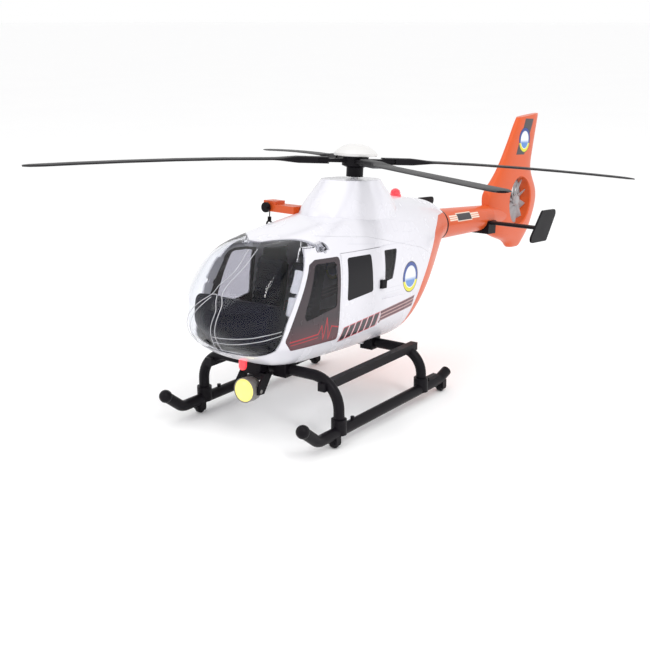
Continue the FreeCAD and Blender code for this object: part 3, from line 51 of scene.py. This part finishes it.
class Graph:
    """Shader nodes written as sums: every method takes sockets or numbers and returns a socket."""

    def __init__(self, name):
        self.material = bpy.data.materials.new(name)
        self.material.use_nodes = True
        self.tree = self.material.node_tree
        self.shader = self.tree.nodes["Principled BSDF"]
        coordinates = self.tree.nodes.new("ShaderNodeTexCoord")
        self.place = coordinates.outputs["Object"]

    def link(self, socket, value):
        if isinstance(value, bpy.types.NodeSocket):
            self.tree.links.new(value, socket)
        else:
            socket.default_value = value

    def math(self, operation, *values):
        node = self.tree.nodes.new("ShaderNodeMath")
        node.operation = operation
        for socket, value in zip(node.inputs, values):
            self.link(socket, value)
        return node.outputs[0]

    def add(self, a, b):
        return self.math("ADD", a, b)

    def sub(self, a, b):
        return self.math("SUBTRACT", a, b)

    def mul(self, a, b):
        return self.math("MULTIPLY", a, b)

    def both(self, *masks):
        result = masks[0]
        for mask in masks[1:]:
            result = self.math("MINIMUM", result, mask)
        return result

    def either(self, *masks):
        result = masks[0]
        for mask in masks[1:]:
            result = self.math("MAXIMUM", result, mask)
        return result

    def inside(self, distance, softness=0.12):
        """1 where a distance in millimetres is negative, 0 where it is positive."""
        node = self.tree.nodes.new("ShaderNodeMapRange")
        self.link(node.inputs["Value"], distance)
        node.inputs["From Min"].default_value = softness
        node.inputs["From Max"].default_value = -softness
        return node.outputs[0]

    def airframe_axes(self):
        """x, y and z in the airframe's coordinates."""
        node = self.tree.nodes.new("ShaderNodeMapping")
        self.tree.links.new(self.place, node.inputs["Vector"])
        node.inputs["Location"].default_value = TO_AIRFRAME.translation
        node.inputs["Rotation"].default_value = (PITCH, 0, 0)
        node.inputs["Scale"].default_value = (1000, 1000, 1000)
        split = self.tree.nodes.new("ShaderNodeSeparateXYZ")
        self.tree.links.new(node.outputs[0], split.inputs[0])
        return split.outputs

    def noise(self, scale, detail=3.0, roughness=0.5):
        node = self.tree.nodes.new("ShaderNodeTexNoise")
        self.tree.links.new(self.place, node.inputs["Vector"])
        node.inputs["Scale"].default_value = scale
        node.inputs["Detail"].default_value = detail
        node.inputs["Roughness"].default_value = roughness
        return node.outputs[0]

    def span(self, value, low, high, from_low=0.0, from_high=1.0):
        node = self.tree.nodes.new("ShaderNodeMapRange")
        self.link(node.inputs["Value"], value)
        node.inputs["From Min"].default_value = from_low
        node.inputs["From Max"].default_value = from_high
        node.inputs["To Min"].default_value = low
        node.inputs["To Max"].default_value = high
        return node.outputs[0]

    def mix(self, factor, first, second):
        node = self.tree.nodes.new("ShaderNodeMix")
        node.data_type = "RGBA"
        self.link(node.inputs[0], factor)
        for socket, colour in ((node.inputs[6], first), (node.inputs[7], second)):
            self.link(socket, (*colour, 1.0) if isinstance(colour, tuple) else colour)
        return node.outputs[2]

    def bump(self, height, strength, distance):
        node = self.tree.nodes.new("ShaderNodeBump")
        self.link(node.inputs["Height"], height)
        node.inputs["Strength"].default_value = strength
        node.inputs["Distance"].default_value = distance
        self.tree.links.new(node.outputs[0], self.shader.inputs["Normal"])

    def set(self, **values):
        for name, value in values.items():
            self.link(self.shader.inputs[name.replace("_", " ")], value)

    def paint(self, mask, colour):
        """Lay a colour over the material's own where the mask is 1."""
        self.colour = self.mix(mask, self.colour, colour)

    def within(self, value, middle, half_width):
        """Below 0 where a value is within half_width of the middle, in millimetres."""
        return self.sub(self.math("ABSOLUTE", self.sub(value, middle)), half_width)

    def repeated(self, value, pitch, half_width):
        """Below 0 inside bars that repeat at a pitch, half_width each way from their middles."""
        step = self.math("FRACT", self.mul(value, 1 / pitch))
        return self.sub(self.mul(self.math("ABSOLUTE", self.sub(step, 0.5)), pitch), half_width)

    def box_mask(self, y, z, low, high):
        """1 inside a rectangle in side view."""
        across = self.within(y, (low[0] + high[0]) / 2, (high[0] - low[0]) / 2)
        up = self.within(z, (low[1] + high[1]) / 2, (high[1] - low[1]) / 2)
        return self.inside(self.math("MAXIMUM", across, up))

    def line_mask(self, y, z, points, half_width):
        """1 within half_width of a polyline in side view."""
        nearest = None
        for (y0, z0), (y1, z1) in zip(points, points[1:]):
            length = math.hypot(y1 - y0, z1 - z0)
            uy, uz = (y1 - y0) / length, (z1 - z0) / length
            dy, dz = self.sub(y, y0), self.sub(z, z0)
            along = self.add(self.mul(dy, uy), self.mul(dz, uz))
            across = self.math("ABSOLUTE", self.sub(self.mul(dy, uz), self.mul(dz, uy)))
            beyond = self.within(along, length / 2, length / 2)
            distance = self.math("MAXIMUM", across, beyond)
            nearest = distance if nearest is None else self.math("MINIMUM", nearest, distance)
        return self.inside(self.sub(nearest, half_width))

    def disc_distance(self, y, z, centre):
        dy, dz = self.sub(y, centre[0]), self.sub(z, centre[1])
        return self.math("SQRT", self.add(self.mul(dy, dy), self.mul(dz, dz)))


BLUE = (0.012, 0.05, 0.27)
PALE_BLUE = (0.10, 0.25, 0.60)
YELLOW = (0.72, 0.68, 0.02)
PAPER = (0.80, 0.84, 0.88)
INK = (0.02, 0.018, 0.025)
RED = (0.42, 0.02, 0.03)
BLACK = (0.006, 0.005, 0.007)


def roundel(graph, y, z, centre, radius, side):
    """A plain sticker of rings: blue above, yellow below, with a pale middle."""
    distance = graph.disc_distance(y, z, centre)
    ring = graph.mix(graph.inside(graph.sub(z, centre[1] - radius * 0.25)), BLUE, YELLOW)
    middle = graph.mix(graph.inside(graph.sub(z, centre[1] - radius * 0.12), 1.5), PAPER, PALE_BLUE)
    sticker = graph.mix(graph.inside(graph.sub(distance, radius * 0.66)), ring, middle)
    sticker = graph.mix(graph.inside(graph.within(distance, radius * 0.69, 0.3)), sticker, PAPER)
    sticker = graph.mix(graph.inside(graph.within(distance, radius - 0.35, 0.35)), sticker, INK)
    graph.paint(graph.both(side, graph.inside(graph.sub(distance, radius))), sticker)


def plastic(name, colour, roughness, grain=0.0, coat=0.0, spread=0.05, specular=0.5):
    """Moulded plastic: slow drift in colour and gloss, flow waviness, and grain if it is satin."""
    graph = Graph(name)
    drift = graph.noise(14.0, 2.0)
    darker = tuple(channel * (1.0 - spread) for channel in colour)
    lighter = tuple(min(1.0, channel * (1.0 + spread)) for channel in colour)
    graph.colour = graph.mix(drift, darker, lighter)
    graph.set(Roughness=graph.span(graph.noise(60.0, 4.0), roughness * 0.85, roughness * 1.2),
              Coat_Weight=coat, Coat_Roughness=0.08, Specular_IOR_Level=specular)
    graph.height = graph.mul(graph.noise(40.0, 2.0), 0.6)
    if grain:
        graph.height = graph.add(graph.height, graph.mul(graph.noise(2600.0, 2.0, 0.6), grain))
    return graph


def finish(graph, strength=0.12, distance=0.0004):
    graph.set(Base_Color=graph.colour)
    graph.bump(graph.height, strength, distance)
    return graph.material


# ---------------------------------------------------------------- materials

# The sliding door's sticker, in millimetres: it rises towards the tail, and its bars lean forward.
DOOR_RISE = 0.115
DOOR_LEVEL = 75.6
CHEVRON_START = 72.0
CHEVRON_SLANT = 0.42
CHEVRON_PITCH = 8.6
CHEVRON_HALF_WIDTH = 3.1
CHEVRON_HALF_HEIGHT = 4.6
CHEVRON_BORDER = 0.75


def white_plastic():
    graph = plastic("white_plastic", (0.715, 0.708, 0.758), 0.26, coat=0.35, spread=0.015)
    x, y, z = graph.airframe_axes()
    outside = graph.inside(graph.sub(24.0, graph.math("ABSOLUTE", x)), 0.5)
    # chevrons low on the sliding door, then three stripes behind them
    level = graph.sub(graph.sub(z, graph.mul(y, DOOR_RISE)), DOOR_LEVEL)
    slanted = graph.add(graph.sub(y, graph.mul(level, CHEVRON_SLANT)), CHEVRON_START)
    extent = graph.within(slanted, 26.0, 25.9)
    tall = graph.within(level, 0.0, CHEVRON_HALF_HEIGHT)
    bar = graph.repeated(slanted, CHEVRON_PITCH, CHEVRON_HALF_WIDTH)
    chevrons = graph.math("MAXIMUM", graph.math("MAXIMUM", tall, bar), extent)
    graph.paint(graph.both(outside, graph.inside(graph.sub(chevrons, CHEVRON_BORDER))), (0.50, 0.08, 0.10))
    graph.paint(graph.both(outside, graph.inside(chevrons)), INK)
    stripe_zone = graph.both(outside, graph.box_mask(slanted, level, (54.0, -4.4), (112.0, 4.4)))
    stripes = graph.inside(graph.repeated(graph.add(level, 4.4), 2.95, 0.95))
    graph.paint(stripe_zone, (0.45, 0.27, 0.26))
    graph.paint(graph.both(stripe_zone, stripes), (0.10, 0.03, 0.045))
    roundel(graph, y, z, (31.5, 101.5), 13.2, outside)
    # moulded panel lines and vents, pressed in as grooves, with painted shade laid into them
    side = graph.math("ABSOLUTE", x)
    lines = graph.either(
        graph.line_mask(y, z, [(-14.0, 131.5), (40.0, 131.0), (58.0, 110.0)], 0.30),
        graph.line_mask(y, z, [(10.0, 150.0), (10.0, 141.0), (17.0, 141.0), (17.0, 150.0),
                               (10.0, 150.0)], 0.25),
        graph.line_mask(y, z, [(24.0, 148.0), (40.0, 147.0), (40.0, 138.5), (24.0, 139.5),
                               (24.0, 148.0)], 0.25),
        graph.line_mask(y, z, [(-8.0, 96.0), (14.0, 96.4)], 0.3),
        graph.line_mask(y, z, [(-8.0, 92.5), (14.0, 92.9)], 0.3),
        graph.line_mask(y, z, [(-62.0, 137.0), (-20.0, 133.5)], 0.3),
        graph.line_mask(y, z, [(66.0, 117.0), (84.0, 150.0)], 0.25))
    lines = graph.both(graph.inside(graph.sub(10.0, side), 0.5), lines)
    graph.height = graph.sub(graph.height, graph.mul(lines, 1.6))
    # painted shade: a light lavender-grey laid into the grooves, standing in for the shade inside them
    graph.paint(graph.mul(lines, 0.22), (0.45, 0.45, 0.52))
    return finish(graph)


def orange_plastic():
    graph = plastic("orange_plastic", (0.66, 0.095, 0.018), 0.32, coat=0.06, spread=0.06, specular=0.35)
    x, y, z = graph.airframe_axes()
    side = graph.inside(graph.sub(2.0, graph.math("ABSOLUTE", x)), 0.5)
    # boom sticker: two pale wing stripes either side of a dark plate
    level = graph.sub(z, 140.2)
    stripes = graph.inside(graph.repeated(graph.add(level, 2.7), 1.8, 0.62))
    wings = graph.either(graph.box_mask(y, level, (145.0, -2.7), (160.0, 2.7)),
                         graph.box_mask(y, level, (189.0, -2.7), (206.0, 2.7)))
    graph.paint(graph.both(side, wings, stripes), (0.85, 0.72, 0.60))
    graph.paint(graph.both(side, graph.box_mask(y, level, (160.0, -3.8), (190.0, 3.8))), (0.80, 0.66, 0.55))
    graph.paint(graph.both(side, graph.box_mask(y, level, (161.0, -3.0), (189.0, 3.0))), INK)
    # fin sticker: a dark slanted field with the same ring sticker on it
    lean = graph.sub(y, graph.mul(graph.sub(z, 211.0), 0.50))
    field = graph.box_mask(lean, z, (300.0, 187.0), (319.0, 233.0))
    field = graph.both(side, field, graph.inside(graph.sub(196.0, z), 0.3))
    graph.paint(field, (0.05, 0.045, 0.05))
    roundel(graph, y, z, (311.0, 211.0), 13.0, side)
    return finish(graph)


def door_panel():
    graph = plastic("door_panel", (0.040, 0.028, 0.034), 0.26, coat=0.15, spread=0.08, specular=0.3)
    _, y, z = graph.airframe_axes()
    fade = graph.span(z, 1.0, 0.0, 66.0, 84.0)
    graph.paint(graph.mul(fade, 0.7), (0.13, 0.035, 0.045))
    pulse = [(-137.0, 71.5), (-104.0, 73.0), (-100.0, 79.0), (-97.0, 68.0),
             (-93.5, 84.0), (-90.0, 67.5), (-87.0, 77.0), (-78.0, 75.0)]
    graph.paint(graph.line_mask(y, z, pulse, 0.45), RED)
    graph.paint(graph.line_mask(y, z, [(-136.0, 69.0), (-104.0, 70.4)], 0.3), RED)
    return finish(graph)


def clear(name, colour, roughness):
    graph = Graph(name)
    graph.colour = graph.mix(graph.noise(12.0, 2.0), tuple(channel * 0.97 for channel in colour), colour)
    graph.set(Base_Color=graph.colour, Transmission_Weight=1.0, IOR=1.22,
              Roughness=graph.span(graph.noise(30.0, 3.0), roughness * 0.6, roughness * 1.4))
    graph.bump(graph.noise(25.0, 2.0), 0.05, 0.0004)
    return graph.material


def glowing(name, colour, glow, strength):
    graph = plastic(name, colour, 0.18, coat=0.4, spread=0.08)
    graph.set(Emission_Color=(*glow, 1.0), Emission_Strength=strength)
    rings = graph.math("SINE", graph.mul(graph.noise(700.0, 1.0), 30.0))
    graph.height = graph.add(graph.height, graph.mul(rings, 0.3))
    return finish(graph, 0.3)


def steel():
    graph = Graph("steel")
    graph.colour = graph.mix(graph.noise(90.0, 4.0), (0.46, 0.46, 0.48), (0.60, 0.60, 0.62))
    graph.set(Metallic=1.0, Roughness=graph.span(graph.noise(300.0, 3.0), 0.22, 0.42))
    graph.height = graph.noise(900.0, 2.0)
    return finish(graph, 0.08, 0.0002)


MATERIALS = {
    "white_plastic": white_plastic(),
    "orange_plastic": orange_plastic(),
    "dark_plastic": finish(plastic("dark_plastic", BLACK, 0.40, grain=0.3, spread=0.2, specular=0.12), 0.12),
    "clear_plastic": clear("clear_plastic", (0.93, 0.94, 0.97), 0.02),
    "tinted_window": finish(plastic("tinted_window", (0.005, 0.0045, 0.007), 0.16, spread=0.15,
                                    specular=0.15), 0.05),
    "grey_plastic": finish(plastic("grey_plastic", (0.34, 0.33, 0.34), 0.38, grain=0.25, spread=0.05), 0.14),
    "pearl_plastic": finish(plastic("pearl_plastic", (0.66, 0.65, 0.64), 0.24, coat=0.5, spread=0.03)),
    "natural_plastic": finish(plastic("natural_plastic", (0.78, 0.75, 0.66), 0.40, grain=0.2, spread=0.04)),
    "red_lens": glowing("red_lens", (0.70, 0.02, 0.03), (1.0, 0.06, 0.08), 0.8),
    "yellow_lens": glowing("yellow_lens", (0.85, 0.76, 0.18), (1.0, 0.88, 0.25), 0.35),
    "steel": steel(),
    "cell_jacket": finish(plastic("cell_jacket", (0.06, 0.20, 0.12), 0.28, coat=0.4, spread=0.10)),
    "board_green": finish(plastic("board_green", (0.03, 0.17, 0.08), 0.35, grain=0.2, spread=0.12)),
}
NAVY = finish(plastic("navy_plastic", (0.005, 0.005, 0.013), 0.55, spread=0.2, specular=0.06), 0.02)
DOOR_PANEL = door_panel()
WINDOW_GLASS = clear("window_glass", (0.42, 0.41, 0.46), 0.02)
LAMP_GREY = finish(plastic("lamp_grey", (0.20, 0.19, 0.18), 0.40, grain=0.25, spread=0.06), 0.14)
OWN_FINISH = {
    "cabin_tub": NAVY, "pilot_seats": NAVY, "instrument_panel": NAVY, "searchlight_lamp": LAMP_GREY,
    "front_door_port": DOOR_PANEL, "front_door_starboard": DOOR_PANEL,
    "side_windows_port": WINDOW_GLASS, "side_windows_starboard": WINDOW_GLASS,
}

for entry in frame["record"]["subparts"]:
    piece = nodes[entry["node"]]
    finish_of_piece = OWN_FINISH.get(entry["node"], MATERIALS[entry["material_slot"]])
    for material_slot in piece.material_slots:
        material_slot.material = finish_of_piece

# ---------------------------------------------------------------- raised frame lines moulded on the canopy

# Points along each line in the airframe's coordinates. A separate script worked them out by projection
# onto the canopy; they were not chosen by hand.
CANOPY_LINES = [
    [(4.0, -141.0, 135.0), (5.5, -153.0, 125.0), (3.0, -161.0, 117.0), (-1.1, -166.2, 111.7),
     (-4.0, -171.0, 105.3), (-13.9, -173.0, 98.3), (-24.4, -170.8, 89.7), (-30.5, -167.5, 80.9),
     (-31.5, -164.0, 72.0), (-27.0, -158.0, 64.0)],
    [(-3.7, -171.8, 103.2), (-11.1, -174.0, 96.6), (-18.0, -173.0, 90.4), (-23.5, -171.0, 83.2),
     (-26.5, -167.5, 75.3), (-24.5, -162.0, 66.5)],
    [(11.0, -139.0, 136.5), (11.5, -146.0, 131.6), (10.6, -154.0, 124.3), (6.5, -164.2, 114.0),
     (5.1, -170.2, 106.5), (7.8, -173.5, 99.5), (7.0, -175.5, 93.7), (4.9, -176.2, 86.2),
     (1.5, -172.8, 74.7)],
    [(-4.0, -171.0, 105.3), (0.6, -171.0, 105.3), (1.8, -173.2, 101.3), (4.0, -175.5, 94.8),
     (1.9, -176.5, 87.2), (-1.5, -174.5, 77.7), (-4.6, -167.2, 68.3), (-6.5, -158.5, 62.0)],
    [(-1.2, -172.5, 74.4), (13.9, -171.5, 75.2), (28.7, -167.2, 77.4), (37.7, -160.5, 79.8),
     (42.0, -147.5, 81.3)],
    [(-3.3, -167.8, 69.5), (15.0, -168.2, 71.0), (30.9, -165.2, 74.2), (39.1, -157.5, 76.8),
     (41.9, -147.2, 78.4)],
    [(1.5, -172.8, 74.7), (0.0, -168.0, 68.5), (-1.5, -160.0, 62.5)],
]
LINE_RADIUS = 0.00028
LINE_STEPS = 6
RAY_START = 0.02
RAY_REACH = 0.05


def smooth_line(points):
    """Points along a smooth curve through the given ones."""
    padded = [points[0]] + points + [points[-1]]
    for before, start, end, after in zip(padded, padded[1:], padded[2:], padded[3:]):
        for step in range(LINE_STEPS):
            t = step / LINE_STEPS
            yield 0.5 * (2 * start + (end - before) * t + (2 * before - 5 * start + 4 * end - after) * t ** 2
                         + (3 * start - before - 3 * end + after) * t ** 3)
    yield points[-1]


canopy = nodes["canopy"]
surface = BVHTree.FromPolygons([canopy.matrix_world @ vertex.co for vertex in canopy.data.vertices],
                               [tuple(polygon.vertices) for polygon in canopy.data.polygons])
inside_point = FROM_AIRFRAME @ Vector((0.0, -120.0, 90.0))
raised = Graph("raised_line")
raised.set(Base_Color=raised.mix(raised.noise(40.0, 2.0), (0.78, 0.79, 0.84), (0.92, 0.92, 0.96)),
           Transmission_Weight=0.5, IOR=1.46, Roughness=raised.span(raised.noise(80.0, 2.0), 0.10, 0.22))
for number, line in enumerate(CANOPY_LINES):
    curve = bpy.data.curves.new(f"canopy_line_{number}", "CURVE")
    curve.dimensions = "3D"
    curve.bevel_depth = LINE_RADIUS
    curve.bevel_resolution = 2
    curve.use_fill_caps = True
    samples = []
    for point in smooth_line([FROM_AIRFRAME @ Vector(point) for point in line]):
        outward = (point - inside_point).normalized()
        place, _, _, distance = surface.ray_cast(point + outward * RAY_START, -outward)
        if place is not None and distance < RAY_REACH:
            samples.append(place)
    spline = curve.splines.new("POLY")
    spline.points.add(len(samples) - 1)
    for control, sample in zip(spline.points, samples):
        control.co = (*sample, 1.0)
    rib = bpy.data.objects.new(f"canopy_line_{number}", curve)
    bpy.context.scene.collection.objects.link(rib)
    curve.materials.append(raised.material)
    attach(rib, "canopy")

# ---------------------------------------------------------------- floor, light and camera

FLOOR_HALF_SIZE = 60.0
FLOOR_GAP = 0.0002
floor_mesh = bpy.data.meshes.new("floor")
grid = bmesh.new()
bmesh.ops.create_grid(grid, x_segments=1, y_segments=1, size=FLOOR_HALF_SIZE)
grid.to_mesh(floor_mesh)
grid.free()
floor = bpy.data.objects.new("floor", floor_mesh)
bpy.context.scene.collection.objects.link(floor)
floor.location.z = -FLOOR_GAP
paper = Graph("paper_floor")
paper.set(Base_Color=paper.mix(paper.noise(3.0, 2.0), (0.965, 0.965, 0.97), (0.985, 0.985, 0.985)),
          Roughness=0.9, Specular_IOR_Level=0.1)
floor_mesh.materials.append(paper.material)

world = bpy.data.worlds.new("studio")
bpy.context.scene.world = world
world.use_nodes = True
background = world.node_tree.nodes["Background"]
background.inputs["Color"].default_value = (1.0, 1.0, 1.0, 1.0)
background.inputs["Strength"].default_value = 1.0


def softbox(name, place, target, size, power):
    light = bpy.data.lights.new(name, "AREA")
    light.shape = "RECTANGLE"
    light.size, light.size_y = size
    light.energy = power
    lamp = bpy.data.objects.new(name, light)
    lamp.location = place
    lamp.rotation_euler = (Vector(place) - Vector(target)).to_track_quat("Z", "Y").to_euler()
    bpy.context.scene.collection.objects.link(lamp)


MIDDLE = (0.0, -0.05, 0.10)
softbox("overhead", (0.1, -0.2, 1.3), MIDDLE, (1.2, 1.2), 2.3)
softbox("key", (-0.7, -1.3, 0.9), MIDDLE, (0.7, 0.9), 3.6)
softbox("side", (1.4, -0.1, 0.6), MIDDLE, (0.9, 0.7), 1.0)
softbox("strip", (0.80, -0.60, 1.02), MIDDLE, (0.14, 0.55), 4.2)

CAMERA_TARGET = Vector((-0.00799, -0.02471 - FOOTPRINT_CENTRE, 0.06169))
CAMERA_DISTANCE = 0.9169
AZIMUTH, ELEVATION, ROLL = math.radians(35.43), math.radians(15.69), math.radians(-0.13)
back = Vector((math.sin(AZIMUTH) * math.cos(ELEVATION), -math.cos(AZIMUTH) * math.cos(ELEVATION),
               math.sin(ELEVATION)))
camera_data = bpy.data.cameras.new("camera")
camera_data.sensor_width = 36.0
camera_data.lens = 60.61
camera_data.clip_start = 0.05
camera = bpy.data.objects.new("camera", camera_data)
facing = back.to_track_quat("Z", "Y").to_matrix().to_4x4()
camera.rotation_euler = (facing @ Matrix.Rotation(ROLL, 4, "Z")).to_euler()
camera.location = CAMERA_TARGET + back * CAMERA_DISTANCE
bpy.context.scene.collection.objects.link(camera)
bpy.context.scene.camera = camera
bpy.context.scene.view_settings.view_transform = "Standard"
